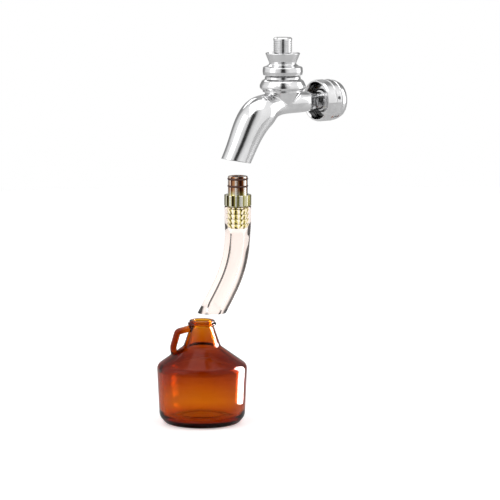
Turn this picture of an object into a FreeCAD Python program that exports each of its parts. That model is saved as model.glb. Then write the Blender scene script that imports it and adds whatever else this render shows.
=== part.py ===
"""Beer-filling siphon set: a forward-sealing tap, a push-in filler tube and a handled jug.

Millimetres, +Z up. The origin is the centre of the tap's rear sealing face, +X points out of the back of
the tap, and the spout points towards -X. The filler and the jug stand below the spout, apart from the tap.
"""

import FreeCAD
import Part

import math
import os

Vector = FreeCAD.Vector

# --- Driving dimensions -------------------------------------------------------------------------------
TOWER_X = -58.0          # lever axis, forward of the rear sealing face
SPOUT_ROOT_X = -26.0     # where the spout's axis leaves the barrel's axis, from the lever axis
SPOUT_SLANT = 27.5       # degrees from vertical
SPOUT_LENGTH = 51.0      # along its axis, from the barrel's axis to the mouth's centre
BARREL_R = 8.8
SPOUT_R = 12.2
SPOUT_BORE_R = 8.5
MOUTH_CUT = 12.0         # degrees from horizontal of the plane that ends the spout

PIVOT_Z = 13.0           # centre of the lever's ball
BALL_R = 8.0
STUD_R = 7.8
STUD_TOP_Z = 54.9

PASSAGE_R = 6.2          # beer passage in the barrel
HUB_CAVITY_R = 11.0
HUB_FLOOR_Z = 7.0
HUB_THREAD_R = 13.5

THREAD_R = 14.29         # 1 1/8 inch coupling thread
NUT_R = 17.6

VIEW_TURN = 142.0        # direction, about +Z from +X, in which the tube bends and the jug's handle points
FILLER_X = -47.5         # filler axis, from the lever axis
COLLAR_BASE_Z = -82.3    # underside of the filler's collar
SPIGOT_R = 8.2
COLLAR_R = 11.3
TUBE_R = 11.0
TUBE_BORE_R = 5.2
TUBE_BEND_R = 110.0
TUBE_BEND = 28.0         # degrees
TUBE_RUN = 25.5          # straight run after the bend

JUG_OFFSET = 29.9        # jug axis, from the filler's axis along VIEW_TURN
JUG_BASE_Z = -265.2
JUG_HEIGHT = 86.5
MOUTH_R = 10.6
MOUTH_BORE_R = 7.6

SEAT_X = -15.0           # rear face of the valve seat, from the lever axis
SLOT_HALF = 3.05         # half the width of the knuckle's slot
SEAL_DEPTH = 3.0         # depth of the groove for the inlet's sealing washer
RUNNING = 0.05           # clearance between parts that fit into each other
parts = {}


# --- Small tools --------------------------------------------------------------------------------------
def rounded_wire(corners):
    """Closed wire in the XZ plane through corners (x, z) or (x, z, radius), each rounded by its radius."""
    points = [Vector(c[0], 0, c[1]) for c in corners]
    radii = [c[2] if len(c) > 2 else 0.0 for c in corners]
    starts, ends, edges = [], [], []
    for i, corner in enumerate(points):
        back = (points[i - 1] - corner).normalize()
        ahead = (points[(i + 1) % len(points)] - corner).normalize()
        if radii[i] <= 0:
            starts.append(corner)
            ends.append(corner)
            edges.append(None)
            continue
        half = back.getAngle(ahead) / 2
        reach = radii[i] / math.tan(half)
        start, end = corner + back * reach, corner + ahead * reach
        middle = (back + ahead).normalize()
        centre = corner + middle * (radii[i] / math.sin(half))
        starts.append(start)
        ends.append(end)
        edges.append(Part.Arc(start, centre - middle * radii[i], end).toShape())
    wire = []
    for i, arc in enumerate(edges):
        if arc:
            wire.append(arc)
        following = starts[(i + 1) % len(starts)]
        if (following - ends[i]).Length > 1e-6:
            wire.append(Part.makeLine(ends[i], following))
    return Part.Wire(wire)


def turned(corners, axis_start=Vector(), axis=Vector(0, 0, 1)):
    """Solid of revolution: corners are (radius, height[, rounding]) about an axis through axis_start."""
    solid = Part.Face(rounded_wire(corners)).revolve(Vector(), Vector(0, 0, 1), 360)
    solid.Placement = FreeCAD.Placement(axis_start, FreeCAD.Rotation(Vector(0, 0, 1), axis))
    return solid


def rod(radius, start, end):
    """Cylinder between two points."""
    return Part.makeCylinder(radius, (end - start).Length, start, end - start)


def ball(radius, centre):
    return Part.makeSphere(radius, centre)


def o_ring(ring_r, section_r, centre, axis=Vector(0, 0, 1)):
    return Part.makeTorus(ring_r, section_r, centre, axis)


def hexagon(across_flats, height, base):
    """Upright hexagonal prism on base."""
    corner_r = across_flats / math.sqrt(3)
    corners = [base + Vector(corner_r * math.cos(a), corner_r * math.sin(a), 0)
               for a in (math.radians(60 * i) for i in range(7))]
    return Part.Face(Part.makePolygon(corners)).extrude(Vector(0, 0, height))


def grooved(corners_bottom, radius, bottom, top, pitch, depth, corners_top):
    """Corner list of a turned part whose side from bottom to top carries ring-shaped thread grooves."""
    corners = list(corners_bottom)
    height = bottom
    while height + pitch <= top:
        corners += [(radius, height + 0.2 * pitch), (radius, height + 0.55 * pitch),
                    (radius - depth, height + 0.8 * pitch), (radius - depth, height + 0.95 * pitch)]
        height += pitch
    return corners + [(radius, height + 0.2 * pitch)] + list(corners_top)


def keep(name, shape):
    """Registers a finished sub-part."""
    shape = shape.removeSplitter()
    solids = shape.Solids
    assert solids and all(s.isValid() and s.isClosed() for s in solids), name
    parts[name] = Part.makeCompound(solids) if len(solids) > 1 else solids[0]


# --- Shared places ------------------------------------------------------------------------------------
TOWER = Vector(TOWER_X, 0, 0)
PIVOT = Vector(TOWER_X, 0, PIVOT_Z)
SLANT = math.radians(SPOUT_SLANT)
SPOUT_AXIS = Vector(-math.sin(SLANT), 0, -math.cos(SLANT))
SPOUT_ROOT = Vector(TOWER_X + SPOUT_ROOT_X, 0, 0)
MOUTH = SPOUT_ROOT + SPOUT_AXIS * SPOUT_LENGTH
BEND_WAY = Vector(math.cos(math.radians(VIEW_TURN)), math.sin(math.radians(VIEW_TURN)), 0)
FILLER = Vector(TOWER_X + FILLER_X, 0, COLLAR_BASE_Z)
JUG = Vector(FILLER.x, 0, JUG_BASE_Z) + BEND_WAY * JUG_OFFSET


# --- Tap: body ----------------------------------------------------------------------------------------
# Stations of the casting from back to front: x from the lever axis, z, degrees below level, radius.
CASTING = [(46, 0, 0, BARREL_R), (20, 0, 0, BARREL_R), (4, 0, 0, 9.1), (-10, -1.2, 13, 10.3),
           (-22.5, -5.6, 38, 13.9), (-31.5, -13.6, 55, 14.2), (-37.8, -23, 61.5, 13.3),
           (-43, -33, 62.5, 12.5), (-52, -50.3, 62.5, SPOUT_R)]
NOSE = Vector(TOWER_X - 24.0, 0, -4.2)
FACET_DISTANCE = 12.4
FACET_NORMAL = Vector(-0.55, 0, 0.835).normalize()


def casting():
    """Barrel, knuckle and spout as one smooth pipe shape through its stations."""
    rings = []
    for x, z, dip, radius in CASTING:
        heading = Vector(-math.cos(math.radians(dip)), 0, -math.sin(math.radians(dip)))
        ring = Part.makeCircle(radius, Vector(TOWER_X + x, 0, z), heading)
        rings.append(Part.Wire([ring]))
    return Part.makeLoft(rings, True, False)


def hub():
    """Cone that grows out of the barrel, with the rings and the thread under the bonnet."""
    cone = turned([(0, -4), (6.5, -4), (15.4, 9.3), (16.6, 9.6, 0.3), (16.6, 10.4, 0.3),
                   (15.6, 10.55), (15.6, 10.75), (17.2, 10.9, 0.25), (17.2, 11.5, 0.25), (HUB_THREAD_R, 11.5),
                   (HUB_THREAD_R, 17.4, 0.4), (0, 17.4)], TOWER)
    return cone.rotated(TOWER, Vector(0, 0, 1), 90)


def facet():
    """Everything beyond the flat land on the knuckle."""
    block = Part.makeBox(60, 60, 40, Vector(-30, -30, 0))
    block.Placement = FreeCAD.Placement(NOSE + FACET_NORMAL * FACET_DISTANCE,
                                        FreeCAD.Rotation(Vector(0, 0, 1), FACET_NORMAL))
    return block


def mouth_cutter():
    """Everything beyond the plane that ends the spout."""
    slant = math.radians(MOUTH_CUT)
    normal = Vector(-math.sin(slant), 0, -math.cos(slant))
    block = Part.makeBox(60, 60, 30, Vector(-30, -30, 0))
    block.Placement = FreeCAD.Placement(MOUTH, FreeCAD.Rotation(Vector(0, 0, 1), normal))
    return block


def rear_thread():
    """Flange, coupling thread, drive teeth and sealing boss at the back of the tap."""
    flange = [(0, 40.4), (BARREL_R - 0.3, 40.4), (BARREL_R + 0.9, 42.4, 0.8), (13.5, 42.9)]
    boss = [(THREAD_R, 54.8), (13.4, 55.6), (13.4, 55.8), (9.6, 55.8), (9.6, 58.0, 0.3), (0, 58.0)]
    outside = grooved(flange, THREAD_R, 43.4, 53.6, 1.41, 0.7, boss)
    rear = turned(outside, TOWER, Vector(1, 0, 0))
    tooth_gap = Part.makeBox(1.2, 1.3, 4.4, Vector(TOWER_X + 54.8, -0.65, 10.0))
    gaps = [tooth_gap.rotated(Vector(), Vector(1, 0, 0), 18 * i) for i in range(20)]
    return rear.cut(Part.makeCompound(gaps))


def passages():
    """Beer passage, hub cavity, valve chamber and seats cut into the body."""
    barrel_bore = rod(PASSAGE_R, TOWER + Vector(-16, 0, 0), Vector(1, 0, 0))
    seal_groove = rod(7.6, Vector(-SEAL_DEPTH, 0, 0), Vector(1, 0, 0))
    seat_pocket = rod(7.0, TOWER + Vector(-21, 0, 0), TOWER + Vector(SEAT_X, 0, 0))
    cavity = rod(HUB_CAVITY_R, TOWER + Vector(0, 0, HUB_FLOOR_Z), TOWER + Vector(0, 0, 18))
    throat = rod(6.4, TOWER, TOWER + Vector(0, 0, HUB_FLOOR_Z + 1))
    chamber = ball(7.4, SPOUT_ROOT + Vector(0.5, 0, -2.5))
    spout_bore = rod(SPOUT_BORE_R, SPOUT_ROOT + SPOUT_AXIS * 5.5, MOUTH + SPOUT_AXIS * 12)
    return [barrel_bore, seal_groove, seat_pocket, cavity, throat, chamber, spout_bore]


def emblem_groove():
    """Plain engraved ring on the knuckle's flat land."""
    centre = NOSE + FACET_NORMAL * (FACET_DISTANCE - 0.35)
    return rod(5.4, centre, centre + FACET_NORMAL).cut(rod(4.9, centre, centre + FACET_NORMAL))


def tap_body():
    outside = blended(casting().fuse(hub()), is_casting_seam, (2.0, 1.4, 0.8))
    solid = outside.cut(facet()).fuse(rear_thread()).cut(mouth_cutter())
    for passage in passages():
        solid = solid.cut(passage)
    return solid.cut(emblem_groove())


def blended(shape, wanted, radii):
    """The shape with its wanted edges rounded by the largest of the radii that the geometry takes."""
    edges = [e for e in shape.Edges if not e.Degenerated and wanted(e)]
    for radius in radii:
        try:
            rounded = shape.makeFillet(radius, edges)
        except Part.OCCError:
            continue
        if rounded.isValid():
            print("blend", radius, "on", len(edges), "edges")
            return rounded
    print("blend refused on", len(edges), "edges")
    return shape


def is_casting_seam(edge):
    """True for the edges where the hub runs into the barrel."""
    box = edge.BoundBox
    curved = edge.Curve.TypeId not in ("Part::GeomCircle", "Part::GeomLine")
    near_hub = box.XMin > TOWER_X - 25 and box.XMax < TOWER_X + 25 and box.ZMax < 9.5
    return curved and near_hub and box.YLength > 4


# --- Tap: lever, valve and fittings -------------------------------------------------------------------
def coupling_nut():
    """Cup nut that holds the tap on its shank: an open hollow round the barrel, then the thread."""
    inner_r = THREAD_R + RUNNING
    hollow_r = THREAD_R + 0.5
    front = [(hollow_r, 37.8, 0.5), (16.0, 35.6, 0.3), (NUT_R - 0.7, 35.6, 0.6), (NUT_R, 38.0, 1.5),
             (NUT_R, 43.6, 0.3), (NUT_R - 0.6, 44.1), (NUT_R - 0.6, 44.7), (NUT_R, 45.2, 0.3)]
    back = [(NUT_R, 49.6, 0.5), (NUT_R - 0.7, 50.1), (NUT_R - 0.7, 50.7), (NUT_R - 0.2, 51.2, 0.4),
            (NUT_R - 0.9, 54.4, 4), (15.2, 57.8, 1.2), (12.2, 57.8, 0.3), (12.2, 56.15)]
    inside = [(inner_r, 56.15), (inner_r, 43.0), (hollow_r, 42.4)]
    nut = turned(front + back + inside, TOWER, Vector(1, 0, 0))
    hole = rod(1.6, Vector(TOWER_X + 47.2, 0, NUT_R - 2.2), Vector(TOWER_X + 47.2, 0, NUT_R + 1))
    holes = [hole.rotated(Vector(), Vector(1, 0, 0), 60 * i + 20) for i in range(6)]
    return nut.cut(Part.makeCompound(holes))


def compression_bonnet():
    """Domed cap ring screwed over the hub. Its outside lies within the jacket's swing."""
    return turned([(HUB_THREAD_R + RUNNING, 11.65), (18.0, 11.65, 0.8), (19.2, 13.0, 1.4), (19.2, 15.2, 2.4),
                   (17.4, 18.9, 3), (15.0, 20.4, 0.8), (14.8, 22.5, 0.5), (11.2, 22.5, 0.5), (8.2, 17.8),
                   (HUB_THREAD_R + RUNNING, 17.8)], TOWER)


def handle_jacket():
    """Spool-shaped sleeve on the lever: skirt ring, waist and flared cup, hollow underneath."""
    outside = turned([(0, 23.6), (16.3, 23.6, 0.35), (16.8, 26.6, 1), (16.5, 30.2, 1.2), (13.6, 31.2, 1),
                      (11.0, 33.0, 1.2), (14.7, 42.0, 0.5), (13.6, 42.0, 0.3), (11.2, 37.0, 0.8), (0, 37.0)],
                     TOWER)
    swing = ball(19.15, PIVOT)
    return outside.cut(swing).cut(rod(STUD_R + RUNNING, TOWER, TOWER + Vector(0, 0, 60)))


def handle_lever():
    """Threaded stud, shank, ball and finger in one piece."""
    stud = turned(grooved([(0, 32.7), (STUD_R, 32.7, 0.5), (STUD_R, 39.4)], STUD_R, 40.0, 52.0, 1.5, 0.75,
                          [(STUD_R, 54.0), (6.9, STUD_TOP_Z), (0, STUD_TOP_Z)]), TOWER)
    shank = turned([(0, 17), (4.0, 17), (4.0, 27, 6), (6.2, 32.8), (0, 32.8)], TOWER)
    finger = turned([(0, 0), (1.7, 0), (1.7, 6), (2.6, 12), (0, 12)], TOWER)
    return stud.fuse([shank, ball(BALL_R, PIVOT), finger, ball(2.8, TOWER)])


def lock_nut():
    base = TOWER + Vector(0, 0, 37.2)
    nut = hexagon(18.6, 3.4, base)
    nut = nut.common(turned([(0, 0), (9.4, 0), (10.4, 0.7), (10.4, 2.7), (9.4, 3.4), (0, 3.4)], base))
    return nut.cut(rod(STUD_R + RUNNING, base, base + Vector(0, 0, 5)))


def ball_seat(low, high, low_bore, high_bore):
    """Plastic ring that holds the lever's ball, between two heights."""
    ring = turned([(low_bore, low), (HUB_CAVITY_R - RUNNING, low), (HUB_CAVITY_R - RUNNING, high),
                   (high_bore, high)], TOWER)
    return ring.cut(ball(BALL_R + RUNNING, PIVOT))


def knuckle():
    """Sliding block that the lever's finger moves along the barrel."""
    block = rod(5.8, TOWER + Vector(-6.5, 0, 0), TOWER + Vector(6.5, 0, 0))
    slot = Part.makeBox(2 * SLOT_HALF, 7.0, 10, TOWER + Vector(-SLOT_HALF, -3.5, -3.3))
    flats = [Part.makeBox(14, 4, 12, TOWER + Vector(-7, side, -6)) for side in (4.2, -8.2)]
    top = Part.makeBox(14, 14, 4, TOWER + Vector(-7, -7, 3.4))
    return block.cut(slot).cut(Part.makeCompound(flats + [top]))


def valve_shaft():
    """Stem from the knuckle to the front seal, with the seal's groove, and the tail behind the knuckle."""
    front = TOWER + Vector(SEAT_X - 5.2, 0, 0)
    stem = turned([(0, 0, 0), (2.8, 0, 1.2), (4.2, 2.2, 0.4), (4.2, 5.1), (3.6, 5.1), (3.6, 7.3),
                   (5.0, 7.3, 0.2), (5.0, 8.2), (2.4, 10.4, 1), (2.4, 13.7), (0, 13.7)],
                  front, Vector(1, 0, 0))
    tail = rod(2.4, TOWER + Vector(6.5, 0, 0), TOWER + Vector(26, 0, 0))
    return [stem, tail]


def shaft_guide():
    """Three-legged spider that carries the stem's tail in the barrel."""
    start = TOWER + Vector(14.5, 0, 0)
    end = start + Vector(3.5, 0, 0)
    rim = rod(PASSAGE_R - RUNNING, start, end).cut(rod(5.2, start, end))
    boss = rod(3.1, start, end)
    leg = Part.makeBox(3.5, 0.9, 5.6, start + Vector(0, -0.45, 0))
    legs = [leg.rotated(Vector(), Vector(1, 0, 0), 120 * i) for i in range(3)]
    return rim.fuse([boss] + legs).cut(rod(2.4 + RUNNING, start, end))


def build_tap():
    keep("tap_body", tap_body())
    keep("coupling_nut", coupling_nut())
    washer = turned([(5.2, -SEAL_DEPTH + RUNNING), (7.5, -SEAL_DEPTH + RUNNING), (7.5, 0), (5.2, 0)],
                    Vector(), Vector(1, 0, 0))
    keep("inlet_seal", washer)
    keep("compression_bonnet", compression_bonnet())
    keep("lower_ball_seat", ball_seat(HUB_FLOOR_Z, 11.9, 6.5, 6.5))
    keep("upper_ball_seat", ball_seat(14.1, 17.7, 6.8, 6.8))
    keep("lever_o_ring", o_ring(9.2, 1.05, PIVOT))
    keep("handle_lever", handle_lever())
    keep("handle_jacket", handle_jacket())
    keep("handle_lock_nut", lock_nut())
    keep("valve_knuckle", knuckle())
    stem, tail = valve_shaft()
    keep("valve_stem", stem)
    keep("valve_tail", tail)
    keep("valve_seal", o_ring(4.65, 1.0, TOWER + Vector(SEAT_X + 1.02, 0, 0), Vector(1, 0, 0)))
    keep("shaft_guide", shaft_guide())
    seat = turned([(4.45, SEAT_X - 3.4, 0.3), (7.0 - RUNNING, SEAT_X - 3.4), (7.0 - RUNNING, SEAT_X),
                   (4.45, SEAT_X, 0.3)], TOWER, Vector(1, 0, 0))
    keep("valve_seat", seat)


# --- Filler -------------------------------------------------------------------------------------------
def filler_fitting():
    """Push-in spigot with two ring grooves, collar and barbed tail, bored through."""
    barbs = [(4.6, -19.0), (6.3, -19.0, 0.3)]
    for i in range(4):
        foot = -18.2 + 4.1 * i
        barbs += [(7.6, foot + 2.9), (6.7, foot + 3.2), (6.7, foot + 3.9)]
    collar = [(6.7, -0.6), (COLLAR_R - 1.2, -0.6), (COLLAR_R - 1.2, 0.0), (COLLAR_R, 0.0, 0.35),
              (COLLAR_R, 9.0, 0.5), (SPIGOT_R, 9.0)]
    spigot = []
    for low in (15.3, 21.3):
        spigot += [(SPIGOT_R, low), (7.0, low), (7.0, low + 1.7), (SPIGOT_R, low + 1.7)]
    top = [(SPIGOT_R, 24.5, 0.9), (4.6, 24.5, 0.4)]
    return turned(barbs + collar + spigot + top, FILLER)


def tube_path():
    """Straight down over the barbs, one wide bend, and a short straight run."""
    start = FILLER + Vector(0, 0, -1.0)
    bend_start = FILLER + Vector(0, 0, -21.0)
    turn = math.radians(TUBE_BEND)
    centre = bend_start + BEND_WAY * TUBE_BEND_R

    def on_arc(angle):
        drop = Vector(0, 0, TUBE_BEND_R * math.sin(angle))
        return centre - BEND_WAY * (TUBE_BEND_R * math.cos(angle)) - drop

    bend_end = on_arc(turn)
    heading = BEND_WAY * math.sin(turn) - Vector(0, 0, math.cos(turn))
    tip = bend_end + heading * TUBE_RUN
    arc = Part.Arc(bend_start, on_arc(turn / 2), bend_end).toShape()
    return Part.Wire([Part.makeLine(start, bend_start), arc, Part.makeLine(bend_end, tip)]), tip


def filler_tube():
    """Clear tube over the barbs, cut level at its lower end."""
    path, tip = tube_path()

    def swept(radius):
        ring = Part.Wire(Part.makeCircle(radius, FILLER + Vector(0, 0, -1.0), Vector(0, 0, -1)))
        return path.makePipeShell([ring], True, False)

    tube = swept(TUBE_R).cut(swept(TUBE_BORE_R))
    barb_r = 7.6 + RUNNING
    stretched = turned([(0, -24.3), (3.8, -24.3), (barb_r, -19.4), (barb_r, 1), (0, 1)], FILLER)
    below = Part.makeBox(80, 80, 20, Vector(tip.x - 40, tip.y - 40, tip.z - 20 + 4.8))
    return tube.cut(stretched).cut(below)


def build_filler():
    keep("filler_fitting", filler_fitting())
    keep("upper_o_ring", o_ring(7.85, 0.8, FILLER + Vector(0, 0, 22.15)))
    keep("lower_o_ring", o_ring(7.85, 0.8, FILLER + Vector(0, 0, 16.15)))
    gasket = turned([(7.0, -0.95), (10.9, -0.95, 0.15), (10.9, -0.65, 0.1), (7.0, -0.65)], FILLER)
    keep("tube_gasket", gasket)
    keep("filler_tube", filler_tube())


# --- Jug ----------------------------------------------------------------------------------------------
def jug():
    """Blown glass jug: round body, shoulder, tapering neck, beaded mouth and finger loop."""
    outer = [(0, 1.6), (18, 1.6, 8), (26, 0, 1.4), (31.0, 0, 4.5), (35.8, 6.0, 8), (37.8, 48.6, 6),
             (15.6, 64.6, 5), (9.6, 81.6, 0.7), (11.9, 82.7, 0.6), (11.9, 84.0, 0.6), (MOUTH_R, 84.6, 0.3),
             (MOUTH_R, JUG_HEIGHT, 1.0), (MOUTH_BORE_R, JUG_HEIGHT, 0.8)]
    inner = [(MOUTH_BORE_R, 80.5, 3), (12.4, 62.9, 5), (34.2, 46.2, 5), (32.2, 8.5, 7), (28.5, 5.2, 3.5),
             (18, 6.4, 8), (0, 6.4)]
    shell = turned(outer + inner, JUG)
    return shell.fuse(jug_handle().cut(jug_inside()))


def jug_inside():
    """The jug's outer form without its handle, made solid: keeps the loop out of the wall and the hollow."""
    return turned([(0, 6), (33.5, 7), (36.4, 48, 5), (14.4, 63.9, 5), (8.7, 81.0, 0.5), (8.7, 86), (0, 86)],
                  JUG)


def jug_handle():
    """Finger loop beside the neck: a flat-sided strap swept along straight runs and arcs."""
    route = [(8.0, 79.9), (20.4, 76.4), (24.2, 63.2), (22.8, 54.0)]
    bends = [3.2, 8.0]
    points = [JUG + BEND_WAY * r + Vector(0, 0, z) for r, z in route]
    edges, last = [], points[0]
    for corner, following, radius in zip(points[1:], points[2:], bends):
        back = (last - corner).normalize()
        ahead = (following - corner).normalize()
        half = back.getAngle(ahead) / 2
        reach = radius / math.tan(half)
        middle = (back + ahead).normalize()
        near = corner + middle * (radius / math.sin(half) - radius)
        edges += [Part.makeLine(last, corner + back * reach),
                  Part.Arc(corner + back * reach, near, corner + ahead * reach).toShape()]
        last = corner + ahead * reach
    edges.append(Part.makeLine(last, points[-1]))
    heading = (points[1] - points[0]).normalize()
    section = Part.Ellipse(Vector(), 4.2, 2.7).toShape()
    side = Vector(0, 0, 1).cross(BEND_WAY)
    facing = FreeCAD.Rotation(side, heading.cross(side), heading, "XYZ")
    section.Placement = FreeCAD.Placement(points[0], facing)
    return Part.Wire(edges).makePipeShell([Part.Wire(section)], True, True)


def write_parts():
    os.makedirs("parts", exist_ok=True)
    for name, shape in parts.items():
        shape.exportStep(os.path.join("parts", name + ".step"))
        print(f"{name}: {len(shape.Solids)} solid(s), {shape.Volume / 1000:.2f} cm3")


build_tap()
build_filler()
keep("jug_glass", jug())
write_parts()
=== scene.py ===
"""Looks of the beer-filling siphon set: polished tap, filler on a clear tube, and amber jug."""

import math

import bmesh
import bpy
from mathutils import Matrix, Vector


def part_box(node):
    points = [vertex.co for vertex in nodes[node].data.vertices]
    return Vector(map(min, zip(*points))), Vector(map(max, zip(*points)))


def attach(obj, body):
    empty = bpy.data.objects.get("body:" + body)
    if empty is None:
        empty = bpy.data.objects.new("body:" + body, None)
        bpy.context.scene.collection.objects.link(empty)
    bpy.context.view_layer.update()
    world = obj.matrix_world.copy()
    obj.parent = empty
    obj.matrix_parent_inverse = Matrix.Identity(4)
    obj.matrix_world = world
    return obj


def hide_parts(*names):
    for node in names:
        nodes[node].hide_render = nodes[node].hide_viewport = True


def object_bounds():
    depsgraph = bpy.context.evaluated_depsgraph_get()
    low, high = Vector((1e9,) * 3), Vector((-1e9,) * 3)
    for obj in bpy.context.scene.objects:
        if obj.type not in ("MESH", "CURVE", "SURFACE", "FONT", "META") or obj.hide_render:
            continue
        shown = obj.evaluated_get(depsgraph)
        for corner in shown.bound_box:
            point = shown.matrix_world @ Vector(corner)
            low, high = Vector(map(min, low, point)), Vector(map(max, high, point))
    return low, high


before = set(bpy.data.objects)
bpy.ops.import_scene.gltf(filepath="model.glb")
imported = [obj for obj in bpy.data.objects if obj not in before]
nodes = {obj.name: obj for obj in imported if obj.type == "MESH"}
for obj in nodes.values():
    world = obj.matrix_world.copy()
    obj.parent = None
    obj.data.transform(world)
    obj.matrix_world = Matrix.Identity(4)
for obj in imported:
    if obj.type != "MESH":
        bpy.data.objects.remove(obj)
cad_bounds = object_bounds()


def corners(node):
    low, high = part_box(node)
    return Vector(low), Vector(high)


# --- Places and sizes, in metres and radians --------------------------------------------------------
CAMERA_TURN = math.radians(-38.0)
CAMERA_RISE = math.radians(8.0)
CAMERA_AWAY = 2.6
VIEW_HEIGHT = 0.420
SHIFT_RIGHT, SHIFT_DOWN = 0.0040, 0.0185
SENSOR_WIDTH = 36.0      # millimetres
FAR_CLIP = 50
TO_CAMERA = Vector((math.sin(CAMERA_TURN) * math.cos(CAMERA_RISE),
                    -math.cos(CAMERA_TURN) * math.cos(CAMERA_RISE), math.sin(CAMERA_RISE)))
CAMERA_RIGHT = Vector((math.cos(CAMERA_TURN), math.sin(CAMERA_TURN), 0))
CAMERA_UP = TO_CAMERA.cross(CAMERA_RIGHT)

FLOOR_Z = corners("jug_glass")[0].z
FLOOR_REACH = 1.6
FLOOR_GAP = 0.0004       # keeps the floor clear of the jug's base

KNUCKLE_FACET = Vector((-0.0888, 0, 0.0062))
HOLLOW_R, RIM_R = 0.0149, 0.0155                  # the nut's painted shade gives way to bright steel from the first to the second
FAR_HALF, NEAR_HALF = 0.0, -0.006                 # y, between which the hollow's painted shade turns from black to bright
BROWN_START, BROWN_FULL = 0.64, 0.74              # shares of the fitting's height, where the painted reflection turns from brassy to brown
JUG_R = 0.0378
HANDLE_START, HANDLE_FULL = 0.013, 0.019          # from the jug's axis towards the handle, where its painted shade starts and is full
SHOULDER_START, SHOULDER_FULL = 0.050, 0.062      # above the jug's base, where the handle's painted shade starts and is full

BEND_TURN = math.radians(142)      # direction, about +Z from +X, of the tube's bend and the jug's handle
TUBE_WAY = Vector((math.cos(BEND_TURN), math.sin(BEND_TURN), 0))
TUBE_SLANT = math.radians(28)      # from vertical, at the lower end
TUBE_TOP = Vector((-0.1055, 0, -0.0833))
# Guide points of the tube's middle line: how far it has moved sideways and how far it has dropped.
TUBE_ROUTE = [(0, 0), (0, 0.012), (0, 0.0225), (0.0014, 0.040), (0.0060, 0.0575), (0.0135, 0.0735),
              (0.0190, 0.0840), (0.0250, 0.0954)]
TUBE_R, TUBE_BORE_R, BARB_BITE_R = 0.0110, 0.0052, 0.0066
BARB_END, BORE_START = 0.0181, 0.0216
SWELL_END, SLIM_START = 0.0120, 0.0250
SWELL = 0.045            # share of the radius that the barbs push out
CUT_MARGIN = 0.0008      # room above the level cut, beside what the slant needs
TUBE_SIDES = 64
LEVEL = 0.97             # faces whose normal is this upright are shaded flat


def middle_of_jug():
    """A point on the jug's axis, half-way up: the body's round side marks the box's low x and high y."""
    low, high = corners("jug_glass")
    return Vector((low.x + JUG_R, high.y - JUG_R, (low.z + high.z) / 2))


# --- Node helpers -----------------------------------------------------------------------------------
def new_material(name):
    material = bpy.data.materials.new(name)
    material.use_nodes = True
    tree = material.node_tree
    return material, tree, tree.nodes["Principled BSDF"]


def new_metal(name):
    material, tree, shader = new_material(name)
    shader.inputs["Metallic"].default_value = 1.0
    return material, tree, shader


def add_node(tree, kind, **values):
    node = tree.nodes.new(kind)
    for key, value in values.items():
        if key in node.inputs:
            node.inputs[key].default_value = value
        else:
            setattr(node, key, value)
    return node


def object_place(tree):
    return add_node(tree, "ShaderNodeTexCoord").outputs["Object"]


def noise(tree, scale, detail=3.0, stretch=(1, 1, 1)):
    """Noise in object space, in metres, so that its grain has a real size."""
    mapping = add_node(tree, "ShaderNodeMapping")
    mapping.inputs["Scale"].default_value = stretch
    texture = add_node(tree, "ShaderNodeTexNoise", Scale=scale, Detail=detail)
    tree.links.new(object_place(tree), mapping.inputs["Vector"])
    tree.links.new(mapping.outputs["Vector"], texture.inputs["Vector"])
    return texture.outputs["Fac"]


def ramp(tree, source, stops):
    """Colour ramp of (position, colour) stops; a plain number stands for a grey."""
    node = add_node(tree, "ShaderNodeValToRGB")
    elements = node.color_ramp.elements
    while len(elements) < len(stops):
        elements.new(0.5)
    for element, (position, colour) in zip(elements, stops):
        element.position = position
        element.color = (colour, colour, colour, 1) if isinstance(colour, float) else (*colour, 1)
    tree.links.new(source, node.inputs["Fac"])
    return node.outputs["Color"]


def vary(tree, target, source, dark, light, dark_at=0.3, light_at=0.7):
    """Drives a shader's socket from dark to light by a noise."""
    tree.links.new(ramp(tree, source, [(dark_at, dark), (light_at, light)]), target)


def share_between(tree, value, start, end):
    """0 where the value is at start, 1 where it is at end."""
    node = add_node(tree, "ShaderNodeMapRange")
    node.inputs["From Min"].default_value = start
    node.inputs["From Max"].default_value = end
    tree.links.new(value, node.inputs["Value"])
    return node.outputs["Result"]


def combine(tree, operation, first, second):
    node = add_node(tree, "ShaderNodeMath", operation=operation)
    tree.links.new(first, node.inputs[0])
    tree.links.new(second, node.inputs[1])
    return node.outputs["Value"]


def mix(tree, factor, first, second):
    """The first colour where the factor is 0, the second where it is 1."""
    node = add_node(tree, "ShaderNodeMix", data_type="RGBA")
    tree.links.new(factor, node.inputs["Factor"])
    tree.links.new(first, node.inputs["A"])
    if isinstance(second, tuple):
        node.inputs["B"].default_value = (*second, 1)
    else:
        tree.links.new(second, node.inputs["B"])
    return node.outputs["Result"]


def split_axes(tree, vector):
    node = add_node(tree, "ShaderNodeSeparateXYZ")
    tree.links.new(vector, node.inputs["Vector"])
    return node.outputs


def with_vector(tree, operation, vector, constant):
    """Vector maths between a socket and a fixed vector."""
    node = add_node(tree, "ShaderNodeVectorMath", operation=operation)
    node.inputs[1].default_value = constant
    tree.links.new(vector, node.inputs[0])
    return node.outputs


def bump(tree, shader, height, strength, distance):
    node = add_node(tree, "ShaderNodeBump", Strength=strength, Distance=distance)
    tree.links.new(height, node.inputs["Height"])
    tree.links.new(node.outputs["Normal"], shader.inputs["Normal"])


def absorb(tree, density, colour):
    """Fills a clear material with something that takes up light along its depth."""
    node = add_node(tree, "ShaderNodeVolumeAbsorption", Density=density)
    node.inputs["Color"].default_value = (*colour, 1)
    tree.links.new(node.outputs["Volume"], tree.nodes["Material Output"].inputs["Volume"])


def by_ray(tree, path, plain, mirrored, through):
    """Picks a colour by what looks at it: a mirror, glass, or anything else."""
    seen_directly = mix(tree, path.outputs["Is Glossy Ray"], plain, mirrored)
    return mix(tree, path.outputs["Is Transmission Ray"], seen_directly, through)


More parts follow.
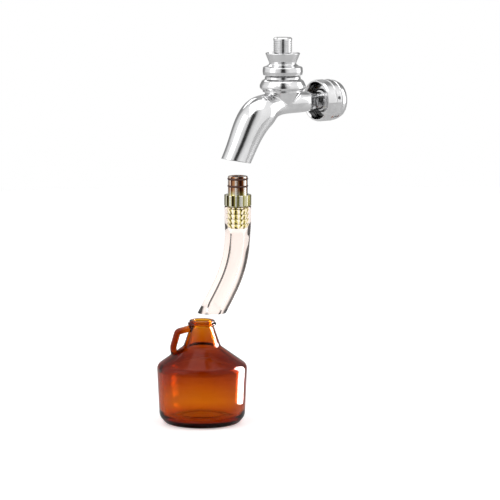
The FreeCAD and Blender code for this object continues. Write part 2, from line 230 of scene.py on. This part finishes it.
# --- Materials --------------------------------------------------------------------------------------
STEEL_DARK, STEEL_LIGHT = (0.77, 0.77, 0.775), (0.86, 0.86, 0.865)
POLISHED, WIPED = 0.09, 0.15
STEEL_STAIN, STEEL_WIPE = 90, 320      # scales of the noises that vary its colour and roughness
GLASS_DRIFT = 0.12       # how far noise shifts the amber, as a share of the jug's height
FLOOR_GLOW = 0.42


def polished_steel():
    material, tree, shader = new_metal("polished_steel")
    vary(tree, shader.inputs["Base Color"], noise(tree, STEEL_STAIN, 4), STEEL_DARK, STEEL_LIGHT)
    vary(tree, shader.inputs["Roughness"], noise(tree, STEEL_WIPE, 5), POLISHED, WIPED, 0.35, 0.75)
    bump(tree, shader, noise(tree, 60, 1), 0.03, 0.001)
    return material


def nut_steel_painted_shade():
    """Polished, with painted shade: nearly black in the far half of the nut's hollow."""
    material, tree, shader = new_metal("nut_steel_painted_shade")
    place = object_place(tree)
    off_axis = with_vector(tree, "MULTIPLY", place, (0, 1, 1))["Vector"]
    radius = add_node(tree, "ShaderNodeVectorMath", operation="LENGTH")
    tree.links.new(off_axis, radius.inputs[0])
    outside = share_between(tree, radius.outputs["Value"], HOLLOW_R, RIM_R)
    near_half = share_between(tree, split_axes(tree, place)["Y"], FAR_HALF, NEAR_HALF)
    stain = noise(tree, STEEL_STAIN, 4)
    # painted shade: near-black colour for the far half of the hollow, which lies in shadow
    black = ramp(tree, stain, [(0.3, 0.03), (0.7, 0.06)])
    bright = ramp(tree, stain, [(0.3, STEEL_DARK), (0.7, STEEL_LIGHT)])
    colour = mix(tree, combine(tree, "MAXIMUM", outside, near_half), black, bright)
    tree.links.new(colour, shader.inputs["Base Color"])
    vary(tree, shader.inputs["Roughness"], noise(tree, STEEL_WIPE, 5), POLISHED, WIPED, 0.35, 0.75)
    return material


def turned_steel():
    """Lathe-turned metal: fine rings across the tap's long axis."""
    material, tree, shader = new_metal("machined_steel")
    across = (9, 1, 1)
    tone = noise(tree, 140, 3, across)
    vary(tree, shader.inputs["Base Color"], tone, (0.52, 0.52, 0.53), (0.68, 0.68, 0.69))
    rings = noise(tree, 700, 2, across)
    vary(tree, shader.inputs["Roughness"], rings, 0.10, 0.22)
    bump(tree, shader, rings, 0.08, 0.0004)
    return material


def fitting_steel():
    """Metal fitting with a painted reflection: dark and bright streaks of the surroundings run down its
    length, brassy below and brown near the top.
    """
    material, tree, shader = new_metal("fitting_steel")
    painted_reflection_streaks = noise(tree, 430, 2, (1, 1, 0.03))
    low, high = corners("filler_fitting")
    height = high.z - low.z
    rise = share_between(tree, split_axes(tree, object_place(tree))["Z"],
                         low.z + BROWN_START * height, low.z + BROWN_FULL * height)
    # painted reflection: streaks of warm surroundings, brassy low down and brown near the top
    low_painted_reflection = ramp(tree, painted_reflection_streaks, [(0.38, (0.035, 0.022, 0.01)), (0.44, (0.30, 0.26, 0.05)),
                                 (0.50, (0.70, 0.65, 0.24)), (0.57, (0.88, 0.86, 0.76))])
    brown = ramp(tree, painted_reflection_streaks, [(0.41, (0.03, 0.008, 0.004)), (0.48, (0.24, 0.07, 0.018)),
                                 (0.54, (0.60, 0.32, 0.16)), (0.61, (0.90, 0.84, 0.78))])
    tree.links.new(mix(tree, rise, low_painted_reflection, brown), shader.inputs["Base Color"])
    rings = noise(tree, 700, 2, (1, 1, 9))
    vary(tree, shader.inputs["Roughness"], rings, 0.12, 0.22)
    bump(tree, shader, rings, 0.06, 0.0004)
    return material


def rubber(name, dark, light):
    material, tree, shader = new_material(name)
    grain = noise(tree, 1500)
    vary(tree, shader.inputs["Base Color"], grain, dark, light)
    shader.inputs["Roughness"].default_value = 0.42
    bump(tree, shader, grain, 0.15, 0.0002)
    return material


def moulded_plastic():
    material, tree, shader = new_material("moulded_acetal")
    grain = noise(tree, 900)
    vary(tree, shader.inputs["Base Color"], grain, (0.80, 0.80, 0.77), (0.88, 0.88, 0.86))
    shader.inputs["Roughness"].default_value = 0.4
    bump(tree, shader, grain, 0.08, 0.0002)
    return material


def clear_vinyl():
    """Soft clear tube, faintly warm and a little cloudy."""
    material, tree, shader = new_material("clear_vinyl")
    cloud = noise(tree, 60)
    vary(tree, shader.inputs["Base Color"], cloud, (1.0, 0.955, 0.93), (1.0, 0.98, 0.965))
    shader.inputs["Transmission Weight"].default_value = 1.0
    shader.inputs["IOR"].default_value = 1.24
    absorb(tree, 60.0, (1.0, 0.90, 0.85))
    vary(tree, shader.inputs["Roughness"], noise(tree, 350, 4), 0.015, 0.05)
    bump(tree, shader, cloud, 0.06, 0.001)
    return material


def cut_vinyl():
    """The tube's sawn end, frosted and pale."""
    material, tree, shader = new_material("cut_vinyl")
    grain = noise(tree, 1800)
    vary(tree, shader.inputs["Base Color"], grain, (0.84, 0.77, 0.73), (0.93, 0.88, 0.85))
    shader.inputs["Roughness"].default_value = 0.55
    bump(tree, shader, grain, 0.2, 0.0002)
    return material


def amber_glass():
    """Blown amber glass, with light and shade painted into its colour: paler low on the body, darker round
    the shoulder.
    """
    material, tree, shader = new_material("amber_glass")
    place = object_place(tree)
    height = split_axes(tree, place)["Z"]
    low, high = corners("jug_glass")
    drift = add_node(tree, "ShaderNodeMath", operation="MULTIPLY_ADD")
    drift.inputs[1].default_value = GLASS_DRIFT
    tree.links.new(noise(tree, 22, 3, (1, 1, 0.35)), drift.inputs[0])
    tree.links.new(share_between(tree, height, low.z, high.z), drift.inputs[2])
    # painted light and shade: pale low on the body, dark and pinkish round the shoulder, with a random
    # drift
    colour = ramp(tree, drift.outputs["Value"], [(0.05, (0.95, 0.95, 0.8)), (0.32, (0.92, 0.90, 0.7)),
                                                 (0.48, (0.72, 0.50, 0.4)), (0.66, (0.50, 0.28, 0.3)),
                                                 (0.80, (0.74, 0.56, 0.5)), (1.0, (0.80, 0.66, 0.5))])
    # painted shade: the handle and the shoulder under it darkened
    shaded = mix(tree, handle_painted_shade(tree, place, height, low.z), colour, (0.34, 0.14, 0.14))
    tree.links.new(shaded, shader.inputs["Base Color"])
    shader.inputs["Transmission Weight"].default_value = 1.0
    shader.inputs["Roughness"].default_value = 0.015
    shader.inputs["IOR"].default_value = 1.47
    shader.inputs["Specular Tint"].default_value = (0.30, 0.24, 0.25, 1)
    absorb(tree, 1150.0, (0.925, 0.75, 0.03))
    bump(tree, shader, noise(tree, 34, 2), 0.05, 0.001)
    return material


def handle_painted_shade(tree, place, height, base_z):
    """1 in the handle and on the shoulder under it, where shade is painted darkest into the glass; 0
    elsewhere.
    """
    from_axis = with_vector(tree, "SUBTRACT", place, middle_of_jug())["Vector"]
    aside = with_vector(tree, "DOT_PRODUCT", from_axis, TUBE_WAY)["Value"]
    towards_handle = share_between(tree, aside, HANDLE_START, HANDLE_FULL)
    above_body = share_between(tree, height, base_z + SHOULDER_START, base_z + SHOULDER_FULL)
    return combine(tree, "MULTIPLY", towards_handle, above_body)


def floor_material():
    """Pale floor: white as it is seen, a little darker through glass, and mid grey for metal to mirror."""
    material, tree, shader = new_material("pale_floor")
    speck = noise(tree, 12)
    plain, mirrored, through = [ramp(tree, speck, [(0.3, dark), (0.7, light)])
                                for dark, light in ((0.90, 0.93), (0.52, 0.55), (0.80, 0.84))]
    path = add_node(tree, "ShaderNodeLightPath")
    tree.links.new(by_ray(tree, path, plain, mirrored, through), shader.inputs["Base Color"])
    glow = add_node(tree, "ShaderNodeMath", operation="MULTIPLY")
    glow.inputs[1].default_value = FLOOR_GLOW
    seen = combine(tree, "MAXIMUM", path.outputs["Is Camera Ray"], path.outputs["Is Transmission Ray"])
    tree.links.new(seen, glow.inputs[0])
    tree.links.new(glow.outputs["Value"], shader.inputs["Emission Strength"])
    shader.inputs["Emission Color"].default_value = (1, 1, 1, 1)
    shader.inputs["Roughness"].default_value = 0.35
    return material


def dress(names, material):
    for name in names:
        mesh = nodes[name].data
        mesh.materials.clear()
        mesh.materials.append(material)


# --- Filler tube ------------------------------------------------------------------------------------
def tube_line():
    """Points of the smooth middle line, read from a NURBS spline through the guide points."""
    curve = bpy.data.curves.new("tube_line", "CURVE")
    curve.dimensions = "3D"
    spline = curve.splines.new("NURBS")
    spline.points.add(len(TUBE_ROUTE) - 1)
    for point, (aside, drop) in zip(spline.points, TUBE_ROUTE):
        point.co = (*(TUBE_TOP + TUBE_WAY * aside - Vector((0, 0, drop))), 1)
    spline.order_u = 3
    spline.use_endpoint_u = True
    spline.resolution_u = 12
    holder = bpy.data.objects.new("tube_line", curve)
    bpy.context.scene.collection.objects.link(holder)
    bpy.context.view_layer.update()
    mesh = bpy.data.meshes.new_from_object(holder)
    points = [v.co.copy() for v in mesh.vertices]
    bpy.data.objects.remove(holder)
    bpy.data.curves.remove(curve)
    bpy.data.meshes.remove(mesh)
    return points


def eased(value, start, end):
    """0 up to start, 1 from end on, smooth between."""
    share = min(max((value - start) / (end - start), 0), 1)
    return share * share * (3 - 2 * share)


def bore_radius(drop):
    """The bore lies just inside the barbs' valleys, so they sit in its wall, and narrows below them."""
    return BARB_BITE_R + (TUBE_BORE_R - BARB_BITE_R) * eased(drop, BARB_END, BORE_START)


def outer_radius(drop):
    """The outside is full size at the top and slims by SWELL round the last barbs."""
    return TUBE_R * (1.0 - SWELL * eased(drop, SWELL_END, SLIM_START))


def ring_points(centre, ahead, radius):
    side = Vector((0, 0, 1)).cross(TUBE_WAY)
    up = ahead.cross(side).normalized()
    angles = (2 * math.pi * i / TUBE_SIDES for i in range(TUBE_SIDES))
    return [centre + (side * math.cos(a) + up * math.sin(a)) * radius for a in angles]


def tube_rings(shell):
    """Rings of vertices down the outside and down the bore, the last ones cut level."""
    line = tube_line()
    end_z = corners("filler_tube")[0].z
    reach = TUBE_R * math.tan(TUBE_SLANT) + CUT_MARGIN
    outside, inside = [], []
    for i, point in enumerate(line):
        ahead = (line[min(i + 1, len(line) - 1)] - line[max(i - 1, 0)]).normalized()
        if point.z < end_z + reach:
            break
        drop = TUBE_TOP.z - point.z
        outside.append([shell.verts.new(p) for p in ring_points(point, ahead, outer_radius(drop))])
        inside.append([shell.verts.new(p) for p in ring_points(point, ahead, bore_radius(drop))])
        last = ahead
    for rings in (outside, inside):
        level = [v.co + last * ((v.co.z - end_z) / -last.z) for v in rings[-1]]
        rings.append([shell.verts.new(p) for p in level])
    return outside, inside


def tube_piece(clear, frosted):
    """Clear tube: outside, cut end and bore, with the lower end cut level."""
    shell = bmesh.new()
    outside, inside = tube_rings(shell)
    for i in range(TUBE_SIDES):
        j = (i + 1) % TUBE_SIDES
        for upper, lower in zip(outside, outside[1:]):
            shell.faces.new((upper[i], upper[j], lower[j], lower[i]))
        for upper, lower in zip(inside, inside[1:]):
            shell.faces.new((upper[j], upper[i], lower[i], lower[j]))
        shell.faces.new((outside[0][j], outside[0][i], inside[0][i], inside[0][j]))
        end = shell.faces.new((outside[-1][i], outside[-1][j], inside[-1][j], inside[-1][i]))
        end.material_index = 1
    bmesh.ops.recalc_face_normals(shell, faces=shell.faces)
    mesh = bpy.data.meshes.new("vinyl_tube")
    shell.to_mesh(mesh)
    shell.free()
    mesh.materials.append(clear)
    mesh.materials.append(frosted)
    for face in mesh.polygons:
        face.use_smooth = abs(face.normal.z) < LEVEL
    tube = bpy.data.objects.new("vinyl_tube", mesh)
    bpy.context.scene.collection.objects.link(tube)
    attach(tube, "filler")
    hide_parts("filler_tube")


# --- Stage ------------------------------------------------------------------------------------------
def add_camera():
    low, high = cad_bounds
    aim = (Vector(low) + Vector(high)) / 2 + CAMERA_RIGHT * SHIFT_RIGHT - CAMERA_UP * SHIFT_DOWN
    data = bpy.data.cameras.new("camera")
    data.sensor_width = SENSOR_WIDTH
    data.lens = SENSOR_WIDTH * CAMERA_AWAY / VIEW_HEIGHT
    data.clip_end = FAR_CLIP
    camera = bpy.data.objects.new("camera", data)
    camera.location = aim + TO_CAMERA * CAMERA_AWAY
    camera.rotation_euler = TO_CAMERA.to_track_quat("Z", "Y").to_euler()
    bpy.context.scene.collection.objects.link(camera)
    bpy.context.scene.camera = camera
    return aim


def add_floor():
    """Round pale floor, small enough that the upright metal mirrors what lies beyond its near edge."""
    mesh = bpy.data.meshes.new("floor")
    angles = [math.radians(a) for a in range(0, 360, 3)]
    rim = [(FLOOR_REACH * math.cos(a), FLOOR_REACH * math.sin(a), FLOOR_Z - FLOOR_GAP) for a in angles]
    mesh.from_pydata(rim, [], [tuple(range(len(rim)))])
    floor = bpy.data.objects.new("floor", mesh)
    mesh.materials.append(floor_material())
    bpy.context.scene.collection.objects.link(floor)


def add_panel(name, turn, rise, away, width, height, power, aim):
    """Soft area light, placed by its direction from its aim, in degrees from the camera's side."""
    data = bpy.data.lights.new(name, "AREA")
    data.shape = "RECTANGLE"
    data.size = width
    data.size_y = height
    data.energy = power
    light = bpy.data.objects.new(name, data)
    angle = CAMERA_TURN + math.radians(turn)
    lift = math.radians(rise)
    towards = Vector((math.sin(angle) * math.cos(lift), -math.cos(angle) * math.cos(lift), math.sin(lift)))
    light.location = aim + towards * away
    light.rotation_euler = towards.to_track_quat("Z", "Y").to_euler()
    light.visible_camera = False
    bpy.context.scene.collection.objects.link(light)
    return light


def add_lights(aim):
    """Three soft boxes, a card for the knuckle's flat land, and one that lights the jug alone."""
    add_panel("left_softbox", -62, 28, 1.4, 0.9, 1.2, 3.6, aim)
    add_panel("right_strip", 105, 4, 1.2, 0.62, 1.5, 3.8, aim)
    add_panel("top_softbox", 10, 80, 1.3, 1.3, 1.3, 6, aim)
    add_panel("facet_card", 210, 38, 0.8, 0.34, 0.30, 0.5, KNUCKLE_FACET)
    card = add_panel("jug_card", 105, 0, 0.10, 0.050, 0.15, 0.8, middle_of_jug())
    lit = bpy.data.collections.new("lit_by_jug_card")
    lit.objects.link(nodes["jug_glass"])
    card.light_linking.receiver_collection = lit


def add_world():
    """Pale surroundings, with a dim strip behind the camera and dim corners for the metal to mirror."""
    world = bpy.data.worlds.new("studio")
    bpy.context.scene.world = world
    world.use_nodes = True
    tree = world.node_tree
    tree.nodes.clear()
    place = add_node(tree, "ShaderNodeTexCoord")
    spin = add_node(tree, "ShaderNodeMapping", vector_type="TEXTURE")
    spin.inputs["Rotation"].default_value = (0, 0, CAMERA_TURN)
    tree.links.new(place.outputs["Generated"], spin.inputs["Vector"])
    way = split_axes(tree, spin.outputs["Vector"])
    around = combine(tree, "ARCTAN2", way["X"], way["Y"])
    share = share_between(tree, around, -math.pi, math.pi)
    # 0 and 1 lie behind the camera, 0.5 beyond the object, 0.25 to the left and 0.75 to the right.
    mirrored = ramp(tree, share, [
        (0.0, 0.03), (0.018, 0.05), (0.043, 0.70), (0.12, 1.0), (0.26, 0.95), (0.33, 0.80), (0.37, 0.34),
        (0.44, 0.25), (0.47, 0.45), (0.53, 0.45), (0.56, 0.25), (0.63, 0.34), (0.67, 0.80), (0.74, 1.0),
        (0.88, 1.0), (0.935, 0.70), (0.970, 0.05), (1.0, 0.03)])
    through = ramp(tree, share, [
        (0.0, 0.5), (0.20, 0.7), (0.33, 0.5), (0.36, 0.05), (0.425, 0.05), (0.45, 1.1), (0.55, 1.1),
        (0.575, 0.05), (0.64, 0.05), (0.67, 0.5), (0.80, 0.7), (1.0, 0.5)])
    height = ramp(tree, way["Z"], [(0.0, 0.90), (0.12, 0.95), (0.45, 1.0), (1.0, 1.0)])
    dimmed = add_node(tree, "ShaderNodeMix", data_type="RGBA", blend_type="MULTIPLY")
    dimmed.inputs["Factor"].default_value = 1.0
    tree.links.new(mirrored, dimmed.inputs["A"])
    tree.links.new(height, dimmed.inputs["B"])
    path = add_node(tree, "ShaderNodeLightPath")
    around_light = by_ray(tree, path, dimmed.outputs["Result"], dimmed.outputs["Result"], through)
    white_to_camera = mix(tree, path.outputs["Is Camera Ray"], around_light, (1.0, 1.0, 1.0))
    shade = add_node(tree, "ShaderNodeBackground", Strength=1.0)
    out = add_node(tree, "ShaderNodeOutputWorld")
    tree.links.new(white_to_camera, shade.inputs["Color"])
    tree.links.new(shade.outputs["Background"], out.inputs["Surface"])


def main():
    dress(["tap_body", "compression_bonnet", "handle_jacket", "handle_lever", "handle_lock_nut"],
          polished_steel())
    dress(["coupling_nut"], nut_steel_painted_shade())
    dress(["valve_knuckle", "valve_stem", "valve_tail"], turned_steel())
    dress(["filler_fitting"], fitting_steel())
    dress(["inlet_seal", "lever_o_ring", "valve_seal"],
          rubber("black_rubber", (0.02, 0.02, 0.02), (0.05, 0.05, 0.05)))
    dress(["upper_o_ring", "lower_o_ring", "tube_gasket"],
          rubber("brown_rubber", (0.045, 0.014, 0.008), (0.10, 0.03, 0.015)))
    dress(["valve_seat", "shaft_guide", "lower_ball_seat", "upper_ball_seat"], moulded_plastic())
    tube_piece(clear_vinyl(), cut_vinyl())
    dress(["jug_glass"], amber_glass())
    bpy.context.scene.view_settings.view_transform = "Standard"
    aim = add_camera()
    add_floor()
    add_world()
    add_lights(aim)


main()
